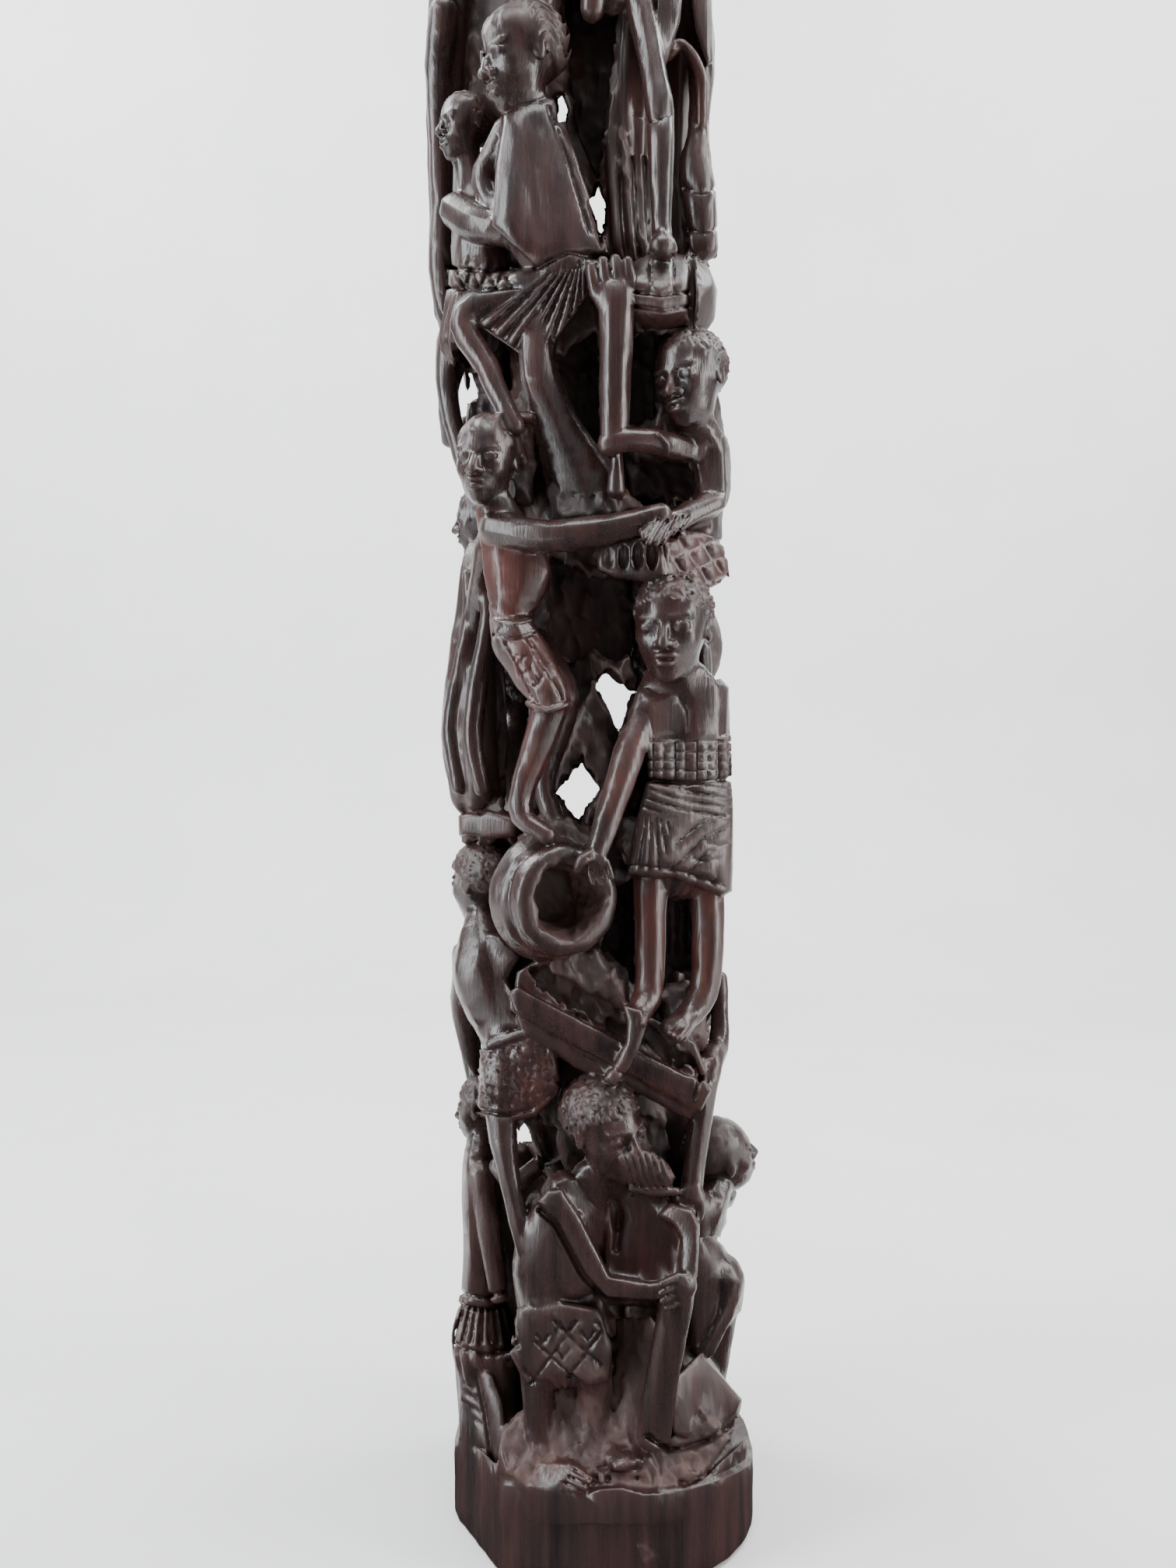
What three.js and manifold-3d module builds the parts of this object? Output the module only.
// A tree-of-life column in the ujamaa manner: one log of African blackwood, carved into a ring of villagers
// who stand on a low drum-shaped base and on each other, around a rough hollowed core. It is a single piece
// of wood. Millimetres, +Z up, the front faces -Y, and the origin is the centre of the flat underside.
import * as THREE from "three";
import { ConvexGeometry } from "three/addons/geometries/ConvexGeometry.js";
import { mergeVertices } from "three/addons/utils/BufferGeometryUtils.js";
import Module from "manifold-3d";

const wasm = await Module();
wasm.setup();

// Driving dimensions
const COLUMN_HEIGHT = 800;
const BASE_DIAMETER = 132;
const BASE_HEIGHT = 42; // at the front and back rim
const SIDE_DROP = 11; // the rim is this much lower at the sides
const BASE_WAVE = 1.6; // how far the hand-trimmed wall of the base strays from round
const FOOT_BEVEL = 2.5;
const CORE_RADIUS = 28;
const CORE_SETBACK = 9; // the core stands this far behind the log's axis
const RING_GAP = 15; // from the core's skin to the middle of a villager's body
const POT_MOUTH_RADIUS = 14.5;
const POT_LIP = 4.2;
const POT_BELLY_RADIUS = 26;
const POT_DEPTH = 25;
const POT_FLOOR = 13;

// The figures keep their pose and proportions as shares of their height over the base. They are laid out on
// a front drawing, in units, seen in perspective by an eye in front of the column. A place is
// [across, down, out]: across and down are read on the drawing, and out is in millimetres from the log's
// plane towards the eye.
const DRAWING_GROUND = 1810; // the top of the base, at the log's axis
const DRAWING_CROWN = -356; // the top of the column
const DRAWING_AXIS = 776; // the log's axis at the ground
const DRAWING_EYE = [756, 1008];
const DRAWING_FOCUS = 1550; // the eye's distance
const DRAWING_LEAN = 56; // how far the log's axis has moved to the left at the top
const DRAWN_UNIT = 0.35; // the size of a unit at which depths, radii and heights were written down
const UNIT = (COLUMN_HEIGHT - BASE_HEIGHT) / (DRAWING_GROUND - DRAWING_CROWN);
const SCALE = UNIT / DRAWN_UNIT;
const EYE_DISTANCE = UNIT * DRAWING_FOCUS;
const EYE_HEIGHT = BASE_HEIGHT + UNIT * (DRAWING_GROUND - DRAWING_EYE[1]);
const EYE_SIDE = UNIT * (DRAWING_EYE[0] - DRAWING_AXIS);

// The carved figures of the front and sides. Stations are [across, down, out, half width, half depth] or
// [across, down, out, radius].
const FIGURES = [
  {
    "name": "staff_bearer", "face": 22,
    "head": {
      "at": [777, 1449, 42], "height": 42, "turn": 58, "nod": -4, "lean": -6, "hair": 0.06, "beard": 0.14
    },
    "body": [[768, 1552, 34, 29, 9], [722, 1596, 37, 20, 14], [712, 1650, 38, 17, 14],
      [722, 1690, 38, 18, 15]],
    "wrap": [[722, 1674, 38, 19, 14], [728, 1768, 42, 20.5, 15]],
    "limbs": [
      [[696, 1550, 44, 7.6], [776, 1650, 55, 6], [862, 1656, 58, 5], [886, 1652, 58, 4.5]],
      [[888, 1558, 42, 6.6], [894, 1610, 52, 5.8], [884, 1652, 58, 5.4], [866, 1672, 59, 5]],
      [[690, 1764, 44, 7], [692, 1835, 45, 5.6], [690, 1884, 47, 5], [738, 1898, 57, 4]],
      [[762, 1760, 42, 8], [766, 1815, 40, 6.4], [776, 1862, 42, 5], [806, 1884, 52, 4]]
    ]
  },
  {
    "name": "left_stander", "face": -95,
    "head": {"at": [621, 1424, 2], "height": 28, "turn": -110, "nod": 4, "hair": 0.1},
    "body": [[618, 1496, 4, 15, 8], [620, 1580, 6, 13, 8], [620, 1664, 6, 13, 9]],
    "wrap": [[620, 1668, 6, 13, 10], [620, 1716, 6, 18, 13], [628, 1762, 8, 17, 13]],
    "limbs": [
      [[620, 1510, 16, 6], [630, 1590, 20, 5.2], [642, 1664, 22, 4.4]],
      [[604, 1750, -2, 7], [606, 1800, -4, 6], [604, 1856, -4, 5]],
      [[640, 1750, 16, 8], [644, 1810, 18, 7], [652, 1868, 22, 5]]
    ]
  },
  {
    "name": "right_sitter", "face": 100,
    "head": {"at": [926, 1484, 2], "height": 31, "turn": 110, "nod": -14, "lean": -10, "hair": 0.1},
    "body": [[910, 1540, 4, 15, 9], [898, 1588, 4, 13, 9], [890, 1660, 2, 17, 15]],
    "limbs": [
      [[918, 1536, 16, 5.6], [912, 1586, 24, 5], [938, 1650, 18, 4.4]],
      [[890, 1636, 10, 13], [936, 1644, 10, 7.6], [902, 1722, 16, 8]],
      [[892, 1650, -10, 12.6], [930, 1654, -14, 7.6], [912, 1790, -16, 6.5]]
    ]
  },
  {
    "name": "reaching_helper", "face": -120,
    "head": {"at": [620, 1134, 12], "height": 34, "turn": -130, "nod": 6, "hair": 0.12},
    "body": [[627, 1220, 18, 15, 13], [630, 1262, 22, 16, 15], [648, 1326, 26, 11, 11],
      [666, 1376, 14, 12, 11]],
    "limbs": [
      [[652, 1322, 32, 9], [649, 1384, 36, 11], [646, 1432, 36, 7.4], [652, 1500, 42, 5],
        [674, 1604, 47, 3.8]],
      [[602, 1226, 2, 7], [598, 1300, -8, 6], [612, 1392, -10, 4]],
      [[662, 1380, 10, 8], [680, 1440, 18, 6], [718, 1516, 26, 4.6]]
    ]
  },
  {
    "name": "pot_woman", "face": -6,
    "head": {"at": [865, 806, 44], "height": 43, "turn": -14, "nod": 8, "hair": 0.05},
    "body": [[872, 898, 36, 19, 10], [880, 948, 37, 15.5, 11], [882, 1008, 37, 16, 12]],
    "wrap": [[882, 1000, 37, 16.5, 12.5], [880, 1060, 36, 19, 15], [864, 1140, 36, 22, 17]],
    "limbs": [
      [[826, 906, 44, 6.6], [800, 984, 54, 5.2], [768, 1086, 60, 3.8], [774, 1134, 63, 3.4]],
      [[918, 900, 26, 6.4], [924, 985, 16, 5.4], [916, 1080, 6, 4.2]],
      [[836, 1136, 40, 6.4], [836, 1200, 42, 5.2], [832, 1278, 44, 4.4], [808, 1316, 54, 4]],
      [[908, 1140, 34, 7], [908, 1208, 38, 5.6], [903, 1280, 40, 4.8], [868, 1330, 50, 4]]
    ]
  },
  {
    "name": "leaning_boy", "face": -10,
    "head": {"at": [626, 592, 44], "height": 36, "turn": -16, "nod": 8, "lean": 4, "hair": 0.02},
    "body": [[648, 684, 42, 11, 8], [666, 736, 42, 14, 10], [655, 796, 41, 8.5, 9], [666, 828, 40, 10.5, 10]],
    "limbs": [
      [[634, 678, 47, 6.4], [706, 690, 57, 5.6], [834, 670, 60, 4.8], [868, 674, 60, 4]],
      [[632, 690, 34, 6], [616, 760, 24, 5], [610, 826, 16, 4]],
      [[662, 824, 46, 9.5], [692, 872, 51, 8.6], [712, 916, 56, 6.4], [664, 1036, 55, 4.4],
        [700, 1074, 60, 3.6]],
      [[690, 832, 38, 9], [728, 902, 46, 8.5], [698, 1044, 46, 4.8], [730, 1068, 50, 4]]
    ]
  },
  {
    "name": "right_partner", "face": -25,
    "head": {"at": [889, 488, 42], "height": 41, "turn": -38, "nod": 12, "lean": -4, "hair": 0.02},
    "body": [[886, 580, 28, 18.5, 11], [886, 650, 24, 15, 12], [888, 716, 20, 14, 13]],
    "limbs": [
      [[918, 576, 34, 6.4], [919, 646, 42, 5.6], [868, 668, 56, 4.8], [842, 696, 60, 4]],
      [[886, 584, 38, 6.2], [850, 570, 50, 5.6], [812, 566, 55, 5], [782, 572, 54, 4.6]]
    ]
  },
  {
    "name": "robed_elder", "face": -20,
    "head": {"at": [668, 80, 42], "height": 40, "turn": -66, "nod": 22, "hair": 0.05},
    "body": [[679, 150, 42, 13, 9], [689, 205, 46, 17.5, 11], [701, 286, 47, 22, 13], [724, 336, 44, 17, 14]],
    "limbs": [
      [[650, 168, 34, 5.5], [622, 236, 26, 5], [660, 312, 38, 4]],
      [[716, 366, 40, 11], [598, 404, 41, 5], [622, 470, 43, 4.2], [664, 548, 50, 3.4]],
      [[700, 380, 38, 10], [690, 462, 46, 7.5], [712, 540, 40, 9.5], [744, 612, 34, 14], [760, 650, 28, 17]]
    ]
  },
  {
    "name": "drummer", "face": -30,
    "head": {"at": [822, -88, 40], "height": 44, "turn": -24, "nod": 14, "lean": 4},
    "body": [[812, 4, 26, 19, 12], [804, 120, 20, 14, 12], [806, 215, 20, 11, 12], [814, 318, 26, 11, 12]],
    "limbs": [
      [[824, 8, 44, 6.2], [839, 90, 48, 5.4], [849, 152, 51, 5.8], [851, 290, 52, 4.2], [856, 322, 53, 4]],
      [[786, 6, 36, 6.6], [776, 60, 22, 5.6], [784, 170, 22, 4]]
    ]
  },
  {
    "name": "belted_child", "face": -60,
    "head": {"at": [600, 166, 14], "height": 31, "turn": -58, "nod": 4, "hair": 0.02},
    "body": [[606, 262, 14, 9, 8], [616, 318, 14, 14, 12], [622, 372, 16, 15, 13]],
    "wrap": [[621, 360, 16, 15, 13], [608, 436, 10, 15, 14]],
    "limbs": [
      [[588, 272, 18, 8], [620, 290, 30, 7.6], [684, 304, 42, 6]],
      [[588, 424, -2, 7.6], [578, 452, -4, 6.4], [578, 520, -4, 5], [598, 604, 4, 3.8]],
      [[606, 430, -10, 7], [614, 510, -18, 5.4], [612, 600, -8, 4]]
    ]
  },
  {
    "name": "tall_watcher", "face": -110,
    "head": {"at": [594, -72, -8], "height": 35, "turn": -64, "nod": 6, "hair": 0.06},
    "body": [[582, 14, -8, 14, 9], [578, 120, -14, 13, 9], [580, 250, -18, 13, 9], [590, 400, -18, 14, 10]],
    "limbs": [
      [[570, 16, 6, 6.6], [564, 110, -4, 6], [568, 250, -8, 5], [568, 350, -6, 6], [582, 436, -8, 5]],
      [[600, 10, 20, 7], [612, 66, 28, 6], [628, 124, 33, 4]]
    ]
  },
  {
    "name": "shawl_woman", "face": 70,
    "head": {"at": [878, -66, 8], "height": 38, "turn": 62, "nod": 8, "hair": 0.05},
    "body": [[876, 14, 4, 14, 12], [870, 110, 0, 13, 11], [868, 230, 0, 13, 11], [872, 330, 2, 14, 13]],
    "limbs": [
      [[896, 8, 16, 6.4], [902, 84, 16, 6], [898, 164, 20, 4.6], [894, 212, 20, 7], [899, 250, 20, 7.6],
        [905, 318, 20, 6]]
    ]
  },
  {
    "name": "robed_woman", "face": -80,
    "head": {"at": [621, 667, 2], "height": 29, "turn": -96, "nod": 6, "hair": 0.05},
    "body": [[618, 738, 6, 12, 9], [614, 800, 4, 14, 10.5], [611, 880, 6, 17, 13], [609, 950, 8, 18, 14],
      [614, 1018, 10, 16, 12]],
    "limbs": [
      [[616, 748, -4, 6], [604, 820, -12, 5], [606, 915, -10, 4]]
    ]
  },
  {
    "name": "crowning_child", "face": 0,
    "head": {"at": [730, -294, 4], "height": 46, "turn": -6, "nod": 8, "hair": 0.08},
    "body": [[731, -206, 2, 19, 13], [732, -140, 2, 17, 13], [733, -60, 2, 19, 16]],
    "limbs": [
      [[690, -204, 8, 7], [656, -150, 16, 6], [614, -88, 26, 4.6]],
      [[772, -204, 8, 7], [806, -160, 12, 6], [860, -112, 18, 4.6]],
      [[708, -66, 14, 9], [690, -80, 40, 7.4], [700, 2, 46, 5]],
      [[756, -66, 14, 9], [768, -76, 42, 7.4], [762, 12, 44, 5]]
    ]
  }
];

// Ways that a villager of the back stands, in shares of the villager's height. Stations are
// [sideways, up, outwards, radius], or [sideways, up, outwards, half width, half depth].
const POSES = {
  "standing": {
    "head": [0, 0.87, 0.03, 0.25],
    "body": [[0, 0.7, 0, 0.115, 0.075], [0, 0.48, 0.01, 0.085, 0.075], [0, 0, 0, 0.12, 0.1]],
    "limbs": [
      [[-0.11, 0.69, 0.01, 0.034], [-0.14, 0.53, 0.06, 0.028], [-0.02, 0.47, 0.14, 0.022]],
      [[0.11, 0.69, 0.01, 0.034], [0.14, 0.52, 0.06, 0.028], [0.05, 0.41, 0.14, 0.022]]
    ]
  },
  "carrying": {
    "head": [0, 0.8, 0.03, 0.25],
    "body": [[0, 0.64, 0, 0.115, 0.075], [0, 0.45, 0.01, 0.085, 0.075], [0, 0, 0, 0.12, 0.1]],
    "limbs": [
      [[-0.11, 0.63, 0.01, 0.034], [-0.19, 0.78, 0.03, 0.028], [-0.11, 0.97, 0.05, 0.022]],
      [[0.11, 0.63, 0.01, 0.034], [0.14, 0.48, 0.06, 0.028], [0.05, 0.37, 0.14, 0.022]]
    ],
    "load": [[0, 0.91, 0.01, 0.07], [0, 0.99, 0.01, 0.12], [0, 1.11, 0.01, 0.08]]
  },
  "seated": {
    "head": [0, 0.87, 0.02, 0.25],
    "body": [[0, 0.7, -0.02, 0.115, 0.075], [0, 0.5, -0.03, 0.09, 0.08], [0, 0, -0.04, 0.12, 0.1]],
    "limbs": [
      [[-0.11, 0.69, 0, 0.034], [-0.15, 0.53, 0.06, 0.028], [-0.04, 0.43, 0.14, 0.022]],
      [[0.11, 0.69, 0, 0.034], [0.15, 0.54, 0.06, 0.028], [0.05, 0.44, 0.14, 0.022]],
      [[-0.06, 0.32, 0, 0.055], [-0.15, 0.34, 0.08, 0.042], [-0.13, 0, 0.08, 0.03]],
      [[0.06, 0.32, 0, 0.055], [0.15, 0.34, 0.08, 0.042], [0.13, 0, 0.08, 0.03]]
    ],
    "load": [[0, 0, 0.09, 0.055], [0, 0.41, 0.09, 0.07]]
  }
};

// The villagers of the back: angle round the column from the front in degrees (right is positive), height
// of the feet over the base, own height, pose, and how far the head is turned.
const VILLAGERS = [
  ["sweeping_aunt", 128, -8, 190, "standing", 20],
  ["low_drummer", 204, -4, 200, "seated", -15],
  ["water_carrier", 98, 184, 160, "carrying", 10],
  ["middle_uncle", 148, 180, 184, "standing", -20],
  ["market_girl", 222, 194, 162, "carrying", 15],
  ["grain_keeper", 108, 362, 172, "standing", 18],
  ["high_drummer", 174, 362, 200, "seated", 0],
  ["old_neighbour", 236, 372, 176, "standing", -18],
  ["upper_sister", 138, 530, 160, "standing", -10],
  ["upper_brother", 206, 558, 148, "standing", 14]
];

// Turns and lengths that the figures share
const DEGREE = Math.PI / 180;
const UP = new THREE.Vector3(0, 0, 1);
const LIMB_SIDES = 4;
const BODY_SIDES = 6;
const SHORTEST_EDGE = 1.6 * SCALE;
const STEADY_FACET = 0.3; // the cosine of the most that a facet turns when an edge is closed
const VIEW_REACH = 110; // a pierced gap is cut this far in front of and behind the axis

// A head in shares of its height, from the chin to the crown: [up, then sideways and forwards of the front,
// the cheek, the side, the nape and the back]
const HEAD_RINGS = [
  [-0.48, [0, 0.34], [0.13, 0.3], [0.2, 0.06], [0.14, -0.08], [0, -0.12]],
  [-0.3, [0, 0.43], [0.2, 0.3], [0.29, 0.02], [0.2, -0.22], [0, -0.26]],
  [-0.14, [0, 0.52], [0.19, 0.33], [0.35, 0.02], [0.24, -0.32], [0, -0.38]],
  [0.08, [0, 0.37], [0.2, 0.31], [0.37, 0], [0.26, -0.36], [0, -0.44]],
  [0.24, [0, 0.38], [0.2, 0.34], [0.36, -0.02], [0.24, -0.34], [0, -0.43]],
  [0.42, [0, 0.2], [0.13, 0.17], [0.24, -0.05], [0.16, -0.25], [0, -0.3]],
];
const PLAIN_HEAD_RINGS = HEAD_RINGS.filter((ring, level) => level !== 1 && level !== 4).map((ring) =>
  ring.filter((spot, k) => k !== 2),
);
const CROWN = [0, 0.5, -0.06];
const SMALL_HEAD = 35; // a head lower than this is carved plainly
const NECK_RADIUS = 0.18; // and the neck starts inside the head, in shares of the head's height
const NECK_DROP = 0.3;
const CORE_SWELL = 0.12; // how much wider and narrower the core gets on its way up

const scaled = (value) => value * SCALE;

// A place on the front drawing as a point of the column.
function place([across, down, out]) {
  const depth = scaled(out);
  const grid = (EYE_DISTANCE - depth) / DRAWING_FOCUS;
  return new THREE.Vector3(
    EYE_SIDE + (across - DRAWING_EYE[0]) * grid,
    -depth,
    EYE_HEIGHT - (down - DRAWING_EYE[1]) * grid,
  );
}

// The unit direction that faces out of the column at an angle from the front.
function facing(angle) {
  return new THREE.Vector3(Math.sin(angle * DEGREE), -Math.cos(angle * DEGREE), 0);
}

// Where the log's axis is at a height.
const axisAt = (z) => (-UNIT * DRAWING_LEAN * z) / COLUMN_HEIGHT;

// A three.js geometry as a solid.
function solid(geometry) {
  geometry.deleteAttribute("normal");
  geometry.deleteAttribute("uv");
  const merged = mergeVertices(geometry, 1e-4);
  return new wasm.Manifold(
    new wasm.Mesh({
      numProp: 3,
      vertProperties: merged.attributes.position.array,
      triVerts: new Uint32Array(merged.index.array),
    }),
  );
}

// The solid that wraps a set of points.
const hull = (points) => solid(new ConvexGeometry(points));

// A closed skin over rings of points that run the same way round, flat at the first ring, and flat or
// pointed at the last.
function skin(rings, tip) {
  const sides = rings[0].length;
  const top = (rings.length - 1) * sides;
  const faces = [];
  for (let k = 0; k < sides; k++) {
    const next = (k + 1) % sides;
    for (let a = 0; a < top; a += sides) {
      faces.push(a + k, a + next, a + sides + next, a + k, a + sides + next, a + sides + k);
    }
    if (k > 0 && k < sides - 1) faces.push(0, k + 1, k);
    if (tip) faces.push(top + k, top + next, top + sides);
    else if (k > 0 && k < sides - 1) faces.push(top, top + k, top + k + 1);
  }
  const points = tip ? [...rings.flat(), tip] : rings.flat();
  return solid(new THREE.BufferGeometry().setFromPoints(points).setIndex(faces));
}

// A closed tube through stations {at, wide, deep}. Its wide side lies across the direction that the piece
// faces.
function loft(stations, sides, faceDirection) {
  const last = stations.length - 1;
  const swell = 1 / Math.sqrt(Math.cos(Math.PI / sides)); // a faceted limb is as full as a round one
  let across = null;
  return skin(
    stations.map(({ at, wide, deep }, i) => {
      const before = stations[Math.max(i - 1, 0)].at;
      const after = stations[Math.min(i + 1, last)].at;
      const along = after.clone().sub(before).normalize();
      if (across) across.addScaledVector(along, -across.dot(along));
      else across = new THREE.Vector3().crossVectors(faceDirection, along);
      if (across.lengthSq() < 1e-4) across.crossVectors(UP, along);
      across.normalize();
      const outward = new THREE.Vector3().crossVectors(along, across);
      return Array.from({ length: sides }, (_, k) => {
        const turn = ((k + 0.5) / sides) * 2 * Math.PI + Math.PI / 2;
        return at
          .clone()
          .addScaledVector(across, Math.cos(turn) * wide * swell)
          .addScaledVector(outward, Math.sin(turn) * deep * swell);
      });
    }),
  );
}

// Stations read off the front drawing.
const drawn = (list) =>
  list.map(([across, down, out, wide, deep = wide]) => ({
    at: place([across, down, out]),
    wide: scaled(wide),
    deep: scaled(deep),
  }));

// A head with its nose, brow and chin. Hair makes the back of the skull fuller, and a beard draws out the chin.
function head(centre, height, { turn, nod = 0, lean = 0, hair = 0, beard = 0 }, shape = HEAD_RINGS) {
  const frame = new THREE.Matrix4()
    .makeRotationZ(turn * DEGREE)
    .multiply(new THREE.Matrix4().makeRotationY(lean * DEGREE))
    .multiply(new THREE.Matrix4().makeRotationX(nod * DEGREE));
  const spot = (side, up, forward) =>
    new THREE.Vector3(side, -forward, up).multiplyScalar(height).applyMatrix4(frame).add(centre);
  const rings = shape.map(([up, ...spots], level) => {
    const chin = level === 0 ? beard : 0;
    const full = up > -0.2 ? 1 + hair : 1;
    const right = spots.map(([across, forward]) =>
      forward > 0.1 ? [across, up - chin, forward + chin * 0.8] : [across * full, up, forward * full],
    );
    const left = right.slice(1, -1).reverse().map(([x, y, z]) => [-x, y, z]);
    return [...right, ...left].map((one) => spot(...one));
  });
  return skin(rings, spot(CROWN[0], CROWN[1] * (1 + hair), CROWN[2]));
}

// A body, with the neck that joins it to the head as its first station.
function trunk(stations, centre, headHeight, sides, direction) {
  const radius = headHeight * NECK_RADIUS;
  const start = centre.clone().addScaledVector(UP, -NECK_DROP * headHeight);
  const neck = { at: start, wide: radius, deep: radius };
  return loft([neck, ...stations], sides, direction);
}

// One figure of the front or the sides.
function frontFigure({ face, head: crown, body, wrap, limbs }) {
  const direction = facing(face);
  const centre = place(crown.at);
  const height = scaled(crown.height);
  const shape = crown.height < SMALL_HEAD ? PLAIN_HEAD_RINGS : HEAD_RINGS;
  const parts = [
    head(centre, height, crown, shape),
    trunk(drawn(body), centre, height, BODY_SIDES, direction),
  ];
  if (wrap) parts.push(loft(drawn(wrap), BODY_SIDES, direction));
  limbs.forEach((limb) => parts.push(loft(drawn(limb), LIMB_SIDES, direction)));
  return parts;
}

// One villager of the back, posed in shares of the villager's height.
function villager([, angle, footHeight, height, poseName, headTurn]) {
  const pose = POSES[poseName];
  const direction = facing(angle);
  const side = new THREE.Vector3().crossVectors(UP, direction);
  const tall = scaled(height);
  const foot = BASE_HEIGHT + scaled(footHeight);
  const spot = ([across, up, out]) => {
    const z = foot + up * tall;
    return new THREE.Vector3(axisAt(z), 0, z)
      .addScaledVector(direction, CORE_RADIUS + RING_GAP + out * tall)
      .addScaledVector(side, across * tall);
  };
  const stations = (list) =>
    list.map(([across, up, out, wide, deep = wide]) => ({
      at: spot([across, up, out]),
      wide: wide * tall,
      deep: deep * tall,
    }));
  const centre = spot(pose.head);
  const headHeight = pose.head[3] * tall;
  const parts = [
    head(centre, headHeight, { turn: angle + headTurn, nod: 6, hair: 0.1 }, PLAIN_HEAD_RINGS),
    trunk(stations(pose.body), centre, headHeight, BODY_SIDES - 1, direction),
  ];
  pose.limbs.forEach((limb) => parts.push(loft(stations(limb), LIMB_SIDES, direction)));
  if (pose.load) parts.push(loft(stations(pose.load), BODY_SIDES - 1, direction));
  return parts;
}

// The base: a drum cut from the log, trimmed by hand, with a flat underside.
function base() {
  const corners = 18;
  const ring = (share, heightAt) =>
    Array.from({ length: corners }, (_, i) => {
      const turn = (i / corners) * 2 * Math.PI;
      const radius = (BASE_DIAMETER / 2 + BASE_WAVE * Math.sin(3 * turn)) * share;
      return new THREE.Vector3(Math.cos(turn) * radius, Math.sin(turn) * radius, heightAt(turn));
    });
  const foot = 1 - (2 * FOOT_BEVEL) / BASE_DIAMETER;
  const rim = (turn) => BASE_HEIGHT - SIDE_DROP * Math.cos(turn) ** 2;
  return hull([...ring(foot, () => 0), ...ring(1, () => FOOT_BEVEL), ...ring(1, rim)]);
}

// The rough core that is left between the figures.
function core() {
  const bottom = BASE_HEIGHT / 2;
  const top = COLUMN_HEIGHT - scaled(100);
  const steps = 4;
  const stations = Array.from({ length: steps + 1 }, (_, i) => {
    const z = bottom + ((top - bottom) * i) / steps;
    const swell = 1 + CORE_SWELL * Math.sin(i * 2.1);
    return {
      at: new THREE.Vector3(axisAt(z) + scaled(3) * Math.sin(i * 1.7), CORE_SETBACK, z),
      wide: CORE_RADIUS * swell,
      deep: CORE_RADIUS * (2 - swell),
    };
  });
  return loft(stations, 6, facing(0));
}

// Lumps of uncut wood, as hulls of places on the front drawing.
const ROUGH_WOOD = {
  "mound_under_elder": [[700, 610, 40], [784, 624, 46], [846, 656, 46], [720, 668, 48], [700, 664, 20],
    [850, 664, 16], [760, 600, 16], [730, 700, 20], [830, 700, 16]],
  "ledge_under_boy": [[676, 1072, 52], [700, 1040, 44], [752, 1066, 50], [776, 1090, 50], [690, 1110, 46],
    [660, 1080, 30], [780, 1110, 24], [700, 1036, 16], [770, 1060, 16]],
  "ledge_by_skirt": [[796, 1050, 30], [846, 1060, 36], [800, 1110, 46], [846, 1120, 40], [790, 1100, 20],
    [850, 1050, 16], [800, 1046, 14]],
  "rock_over_trough": [[690, 1222, 44], [760, 1216, 48], [806, 1262, 48], [818, 1310, 46], [720, 1262, 50],
    [690, 1230, 20], [800, 1230, 20], [810, 1330, 20], [700, 1290, 20]],
  "rock_under_right_foot": [[846, 1270, 40], [886, 1256, 36], [912, 1330, 36], [866, 1346, 48],
    [846, 1330, 40], [850, 1280, 14], [910, 1290, 12], [900, 1370, 16]],
  "ground_front": [[672, 1880, 46], [700, 1850, 30], [800, 1868, 50], [700, 1915, 56], [812, 1905, 58],
    [860, 1880, 52], [760, 1900, 60], [700, 1830, 14], [830, 1826, 14], [880, 1880, 20]],
  "left_slope": [[590, 1856, 10], [600, 1776, -6], [628, 1770, 4], [640, 1862, 34], [604, 1862, 24],
    [596, 1790, -24], [640, 1800, -20], [600, 1870, -20], [660, 1880, 20]],
  "apron": [[786, 1690, 30], [846, 1690, 40], [800, 1850, 48], [862, 1830, 46], [830, 1720, 18],
    [884, 1790, 20], [790, 1850, 20]],
  "shoulder_wood": [[820, 150, 22], [838, 300, 26], [784, 120, 20], [776, 300, 22], [800, 160, 36],
    [812, 330, 36], [790, 330, 16], [846, 140, 12], [850, 300, 12]],
  "hem_floor": [[596, 1016, 16], [650, 1020, 28], [650, 1046, 30], [594, 1046, 16], [600, 1020, -14],
    [604, 1046, -14], [650, 1030, 4]],
  "head_ring": [[588, 1040, 12], [616, 1036, 28], [664, 1040, 28], [664, 1084, 26], [612, 1088, 28],
    [590, 1084, 12], [600, 1062, -12], [690, 1060, -6]],
  "web_behind_left": [[640, 1490, 10], [650, 1680, 10], [690, 1500, 0], [700, 1680, 0], [620, 1480, -14],
    [624, 1690, -14], [690, 1460, -14]],
  "web_behind_right": [[880, 1530, 8], [870, 1700, 8], [840, 1520, 0], [836, 1700, 0], [900, 1540, -12],
    [896, 1690, -12]],
  "vessel_on_elder": [[650, -40, 44], [700, -4, 44], [776, -10, 36], [796, -40, 30], [640, -130, 34],
    [800, -130, 26], [720, -136, 48], [690, -10, 10], [780, -10, 10], [650, -120, 8], [790, -120, 8]]
};

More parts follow.
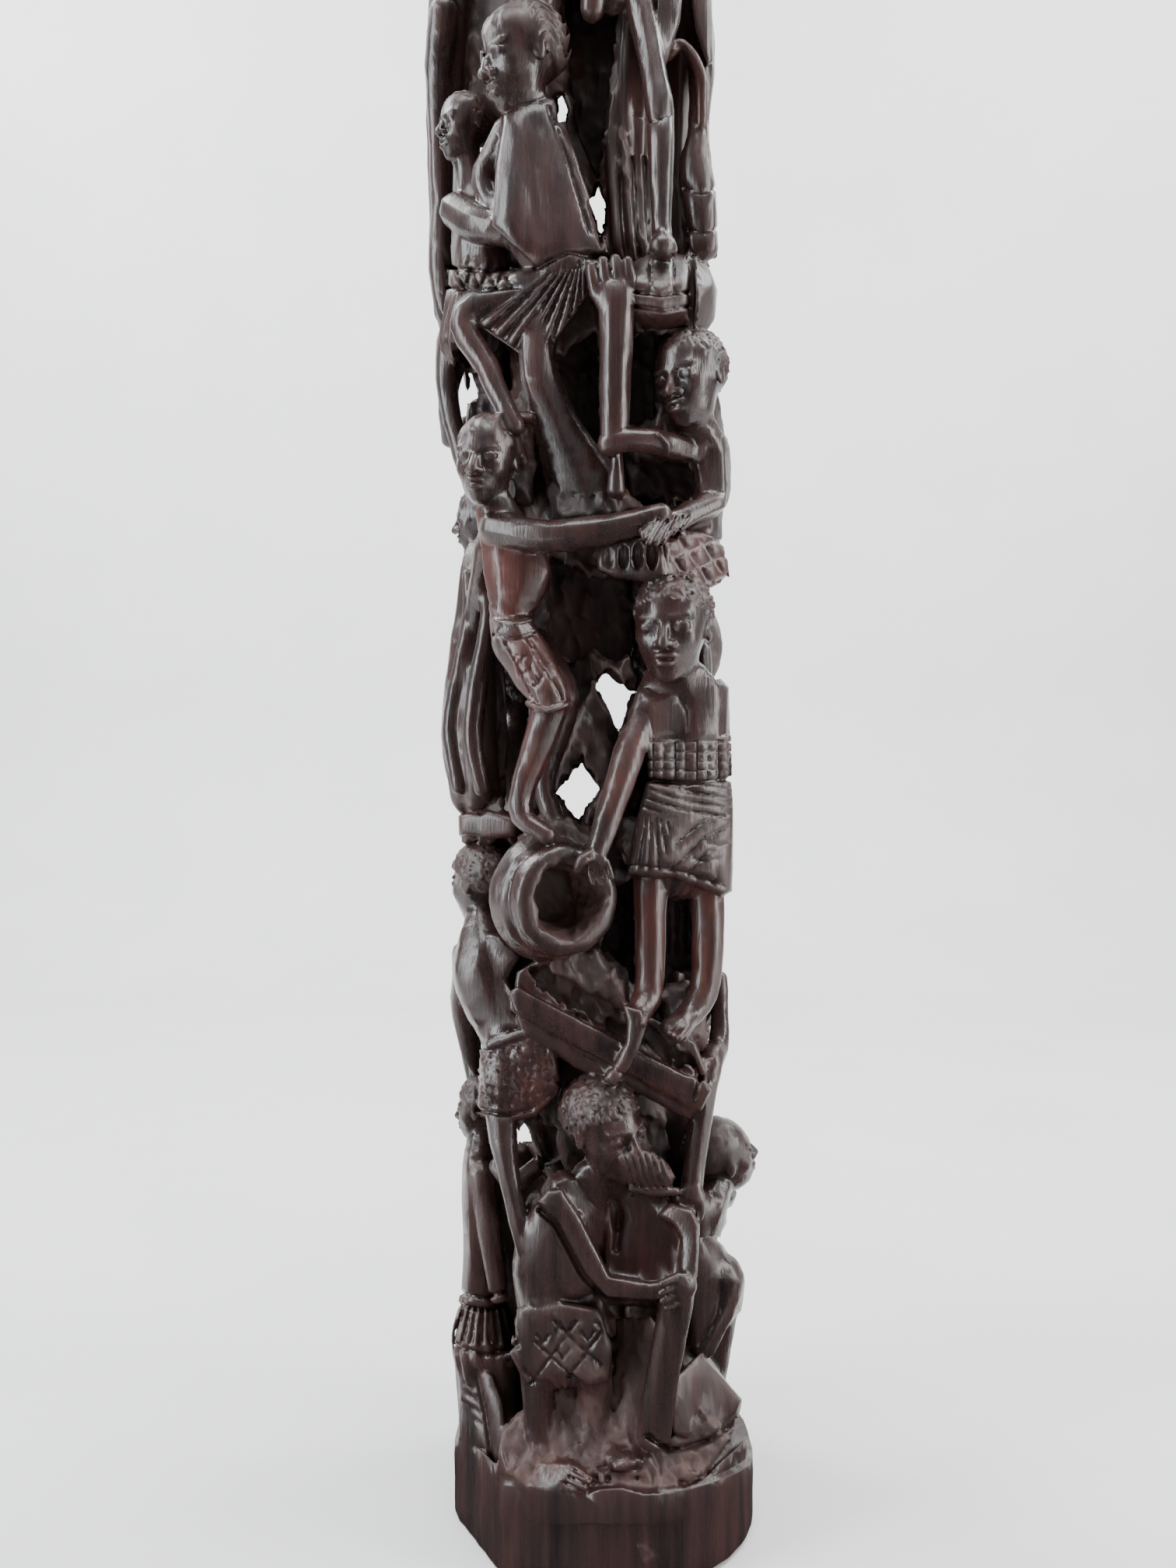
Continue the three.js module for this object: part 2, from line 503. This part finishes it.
// Flat-sided carved things on the front, as hulls of places on the front drawing.
const CARVED_THINGS = {
  "slab": [[878, 1724, 20], [909, 1740, 18], [956, 1803, 8], [947, 1822, 14], [903, 1860, 40],
    [862, 1846, 44], [884, 1730, -8], [930, 1780, -14], [940, 1850, -6], [880, 1870, 10]],
  "trough_front": [[660, 1270, 50], [672, 1256, 50], [908, 1382, 46], [912, 1394, 44], [900, 1416, 44],
    [660, 1296, 50], [672, 1290, 34], [900, 1400, 30]],
  "trough_back_board": [[690, 1236, 46], [700, 1232, 42], [800, 1300, 46], [896, 1352, 42], [910, 1372, 42],
    [880, 1384, 40], [672, 1262, 42], [700, 1250, 30], [900, 1370, 28]],
  "trough_strap": [[790, 1312, 54], [826, 1318, 54], [812, 1358, 56], [794, 1386, 54], [778, 1384, 52],
    [792, 1350, 56], [820, 1312, 40], [784, 1384, 38]],
  "basket": [[756, 716, 40], [776, 696, 46], [846, 684, 54], [900, 680, 46], [932, 700, 30], [934, 738, 26],
    [902, 752, 40], [852, 744, 52], [790, 740, 48], [800, 700, 16], [910, 700, 10], [920, 740, 10]],
  "pleated_skirt": [[700, 340, 54], [740, 326, 54], [778, 334, 46], [714, 434, 50], [706, 460, 50],
    [674, 462, 50], [645, 440, 46], [604, 412, 40], [585, 390, 38], [640, 372, 40], [720, 400, 30],
    [690, 440, 34]],
  "drum_barrel": [[817, 332, 46], [850, 324, 48], [889, 330, 42], [889, 418, 40], [850, 426, 46],
    [817, 414, 46], [820, 360, 55], [850, 376, 58], [884, 366, 53], [820, 394, 54], [822, 350, 12],
    [886, 400, 4]],
  "drum_end": [[886, 336, 42], [912, 342, 34], [923, 372, 30], [918, 412, 32], [904, 430, 34],
    [886, 426, 40], [892, 380, 50], [916, 380, 42], [884, 360, 14], [914, 390, 12]],
  "cloth_wing": [[838, -20, 44], [878, -20, 40], [874, 20, 40], [846, 104, 44], [841, 60, 46],
    [852, -10, 20], [850, 90, 26]],
  "neck_cloth": [[580, -20, 34], [616, -20, 38], [616, 20, 40], [626, 106, 42], [600, 50, 32],
    [596, -10, 12], [616, 90, 28]],
  "lintel": [[606, 30, 24], [642, 20, 34], [636, 92, 30], [612, 80, 22], [620, 20, 4], [640, 92, 6]]
};

// Round carved things: stations on the front drawing, number of sides, and the way they face.
const CARVED_RODS = {
  "staff": [[[872, 1660, 57, 6.6], [853, 1760, 55, 6.8], [840, 1842, 52, 7.4]], 7],
  "joined_hand": [[[786, 338, 52, 7.4], [789, 384, 54, 6], [794, 404, 54, 6.4], [790, 562, 53, 5.2]], 6],
  "spike": [[[794, 584, 48, 2.6], [792, 630, 48, 4]], 5],
  "strip_behind": [[[776, 40, 14, 4.6], [782, 160, 16, 4.6], [784, 330, 22, 5]], 5],
  "side_arm": [[[926, 1258, 10, 3.4], [924, 1340, 18, 4.6], [913, 1368, 30, 5.4], [899, 1450, 36, 5],
    [887, 1548, 40, 4.6]], 5],
  "brace_low": [[[640, 1500, 24, 4], [664, 1520, 28, 4], [716, 1476, 20, 4]], 5],
  "cross_limb": [[[764, 886, -20, 6], [776, 930, -22, 5.5], [792, 1000, -24, 5.5]], 5]
};

// The pot that the woman tips towards the front: a round body behind a banded neck, a lip, and a hollow.
const POT_MOUTH = [734, 1157, 62];
const POT_TURN = 20; // degrees to the right of straight ahead

function pot() {
  const mouth = place(POT_MOUTH);
  const aim = facing(POT_TURN);
  const ring = ([back, radius]) => ({
    at: mouth.clone().addScaledVector(aim, -back),
    wide: radius,
    deep: radius,
  });
  const turned = (profile, sides) => loft(profile.map(ring), sides, UP);
  const lip = POT_MOUTH_RADIUS + POT_LIP;
  const length = POT_DEPTH + POT_FLOOR;
  return {
    body: turned(
      [[0, lip], [length * 0.1, lip * 1.16], [length * 0.2, lip * 1.1], [length * 0.5, POT_BELLY_RADIUS],
        [length * 0.8, POT_BELLY_RADIUS * 0.85], [length, POT_BELLY_RADIUS * 0.5]],
      10,
    ),
    hollow: turned([[-length, POT_MOUTH_RADIUS], [0, POT_MOUTH_RADIUS],
    [POT_DEPTH, POT_MOUTH_RADIUS * 0.62]], 8),
  };
}

// Gaps that are pierced right through the column along the line of sight, as outlines on the front drawing.
const PIERCED = [
  [[756, 256], [771, 236], [780, 262], [774, 326]],
  [[601, 486], [612, 506], [616, 530], [601, 520]],
  [[779, 862], [817, 889], [796, 944], [763, 882]],
  [[749, 974], [772, 1014], [745, 1059], [713, 1020]],
];

// The wedge of sight behind an outline.
function sightWedge(outline) {
  return hull([
    ...outline.map(([across, down]) => place([across, down, VIEW_REACH])),
    ...outline.map(([across, down]) => place([across, down, -VIEW_REACH])),
  ]);
}

// Pleats of the elder's skirt: thin wedges that leave flutes between them, from the waist to the hem.
const SKIRT_WAIST = [[706, 346, 55], [770, 336, 49]];
const SKIRT_HEM = [[612, 414, 43], [646, 438, 48], [676, 458, 52], [704, 452, 52]];

function pleats() {
  const count = 6;
  const mix = (a, b, t) => a.map((value, i) => value + (b[i] - value) * t);
  return Array.from({ length: count }, (_, i) => {
    const share = i / (count - 1);
    const top = mix(SKIRT_WAIST[0], SKIRT_WAIST[1], share);
    const spanned = share * (SKIRT_HEM.length - 1);
    const at = Math.min(Math.floor(spanned), SKIRT_HEM.length - 2);
    const bottom = mix(SKIRT_HEM[at], SKIRT_HEM[at + 1], spanned - at);
    return loft(drawn([[...top, 1.2], [...bottom, 2.6]]), 3, facing(0));
  });
}

// Flutes of the basket under the joined hands, from its rim to its foot.
const FLUTE_RIM = [[782, 700, 50], [906, 700, 42]];
const FLUTE_LENGTH = 42;
const BASKET_BULGE = 5;

function flutes() {
  const count = 6;
  const [first, last] = FLUTE_RIM;
  return Array.from({ length: count }, (_, i) => {
    const share = i / (count - 1);
    const across = first[0] + (last[0] - first[0]) * share;
    const out = first[2] + (last[2] - first[2]) * share + BASKET_BULGE * Math.sin(share * Math.PI);
    const foot = [across + 2, first[1] + FLUTE_LENGTH, out - 2];
    return loft(drawn([[across, first[1], out, 2.4], [...foot, 3]]), 3, facing(0));
  });
}

// The whole carving as one solid: everything joined, then the hollows and gaps cut.
function carving() {
  const joined = [base(), core()];
  FIGURES.forEach((figure) => joined.push(...frontFigure(figure)));
  VILLAGERS.forEach((one) => joined.push(...villager(one)));
  [ROUGH_WOOD, CARVED_THINGS].forEach((group) =>
    Object.values(group).forEach((places) => joined.push(hull(places.map(place)))),
  );
  Object.values(CARVED_RODS).forEach(([stations, sides]) => {
    joined.push(loft(drawn(stations), sides, facing(0)));
  });
  const { body, hollow } = pot();
  joined.push(body, ...pleats(), ...flutes());
  let made = joined.reduce((whole, piece) => whole.add(piece));
  made = made.subtract(hollow);
  PIERCED.forEach((outline) => {
    made = made.subtract(sightWedge(outline));
  });
  return made;
}

// Where one cut surface meets another, the corners that lie closer together than a chisel could show are drawn
// into one, as long as no facet turns over and the skin stays closed.
function closeShortEdges({ vertProperties, triVerts }, shortest) {
  const points = Array.from({ length: vertProperties.length / 3 }, (_, i) =>
    new THREE.Vector3().fromArray(vertProperties, i * 3),
  );
  const facets = Array.from({ length: triVerts.length / 3 }, (_, i) => [...triVerts.subarray(i * 3, i * 3 + 3)]);
  const touching = points.map(() => new Set());
  facets.forEach((facet, i) => facet.forEach((corner) => touching[corner].add(i)));

  const neighbours = (v) => new Set([...touching[v]].flatMap((i) => facets[i]).filter((other) => other !== v));
  const normal = (facet, moved, to) => {
    const [p, q, r] = facet.map((corner) => (moved.includes(corner) ? to : points[corner]));
    return new THREE.Vector3().crossVectors(q.clone().sub(p), r.clone().sub(p)).normalize();
  };
  const keepsItsFace = (facet, edge, to) =>
    edge.every((end) => facet.includes(end)) ||
    normal(facet, [], to).dot(normal(facet, edge, to)) > STEADY_FACET;

  const close = (keep, drop) => {
    if (!touching[keep].size || !touching[drop].size) return false;
    if (points[keep].distanceTo(points[drop]) > shortest) return false;
    const around = neighbours(keep);
    if (!around.has(drop) || [...neighbours(drop)].filter((v) => around.has(v)).length !== 2) return false;
    const to = points[keep].clone().lerp(points[drop], 0.5);
    const affected = [...touching[keep], ...touching[drop]];
    if (!affected.every((i) => keepsItsFace(facets[i], [keep, drop], to))) return false;
    points[keep] = to;
    touching[drop].forEach((i) => {
      if (facets[i].includes(keep)) facets[i].forEach((corner) => touching[corner].delete(i));
      else {
        facets[i] = facets[i].map((corner) => (corner === drop ? keep : corner));
        touching[keep].add(i);
      }
    });
    touching[drop].clear();
    return true;
  };

  for (let changed = true; changed; ) {
    const edges = points.flatMap((_, v) =>
      [...neighbours(v)].filter((other) => other > v).map((other) => [v, other]),
    );
    const length = ([v, other]) => points[v].distanceTo(points[other]);
    const short = edges.filter((edge) => length(edge) < shortest).sort((one, two) => length(one) - length(two));
    changed = short.filter(([v, other]) => close(v, other)).length > 0;
  }
  const kept = facets.filter((facet, i) => touching[facet[0]].has(i));
  return mergeVertices(new THREE.BufferGeometry().setFromPoints(points).setIndex(kept.flat()), 0);
}

// A solid as a mesh of three.js.
function meshOf(made, name, material) {
  const geometry = closeShortEdges(made.getMesh(), SHORTEST_EDGE);
  geometry.computeVertexNormals();
  const mesh = new THREE.Mesh(geometry, material);
  mesh.name = name;
  return mesh;
}

const blackwood = new THREE.MeshStandardMaterial({ color: 0x2a1b18, roughness: 0.35, metalness: 0 });
const group = new THREE.Group();
group.add(meshOf(carving(), "carving", blackwood));

export default group;
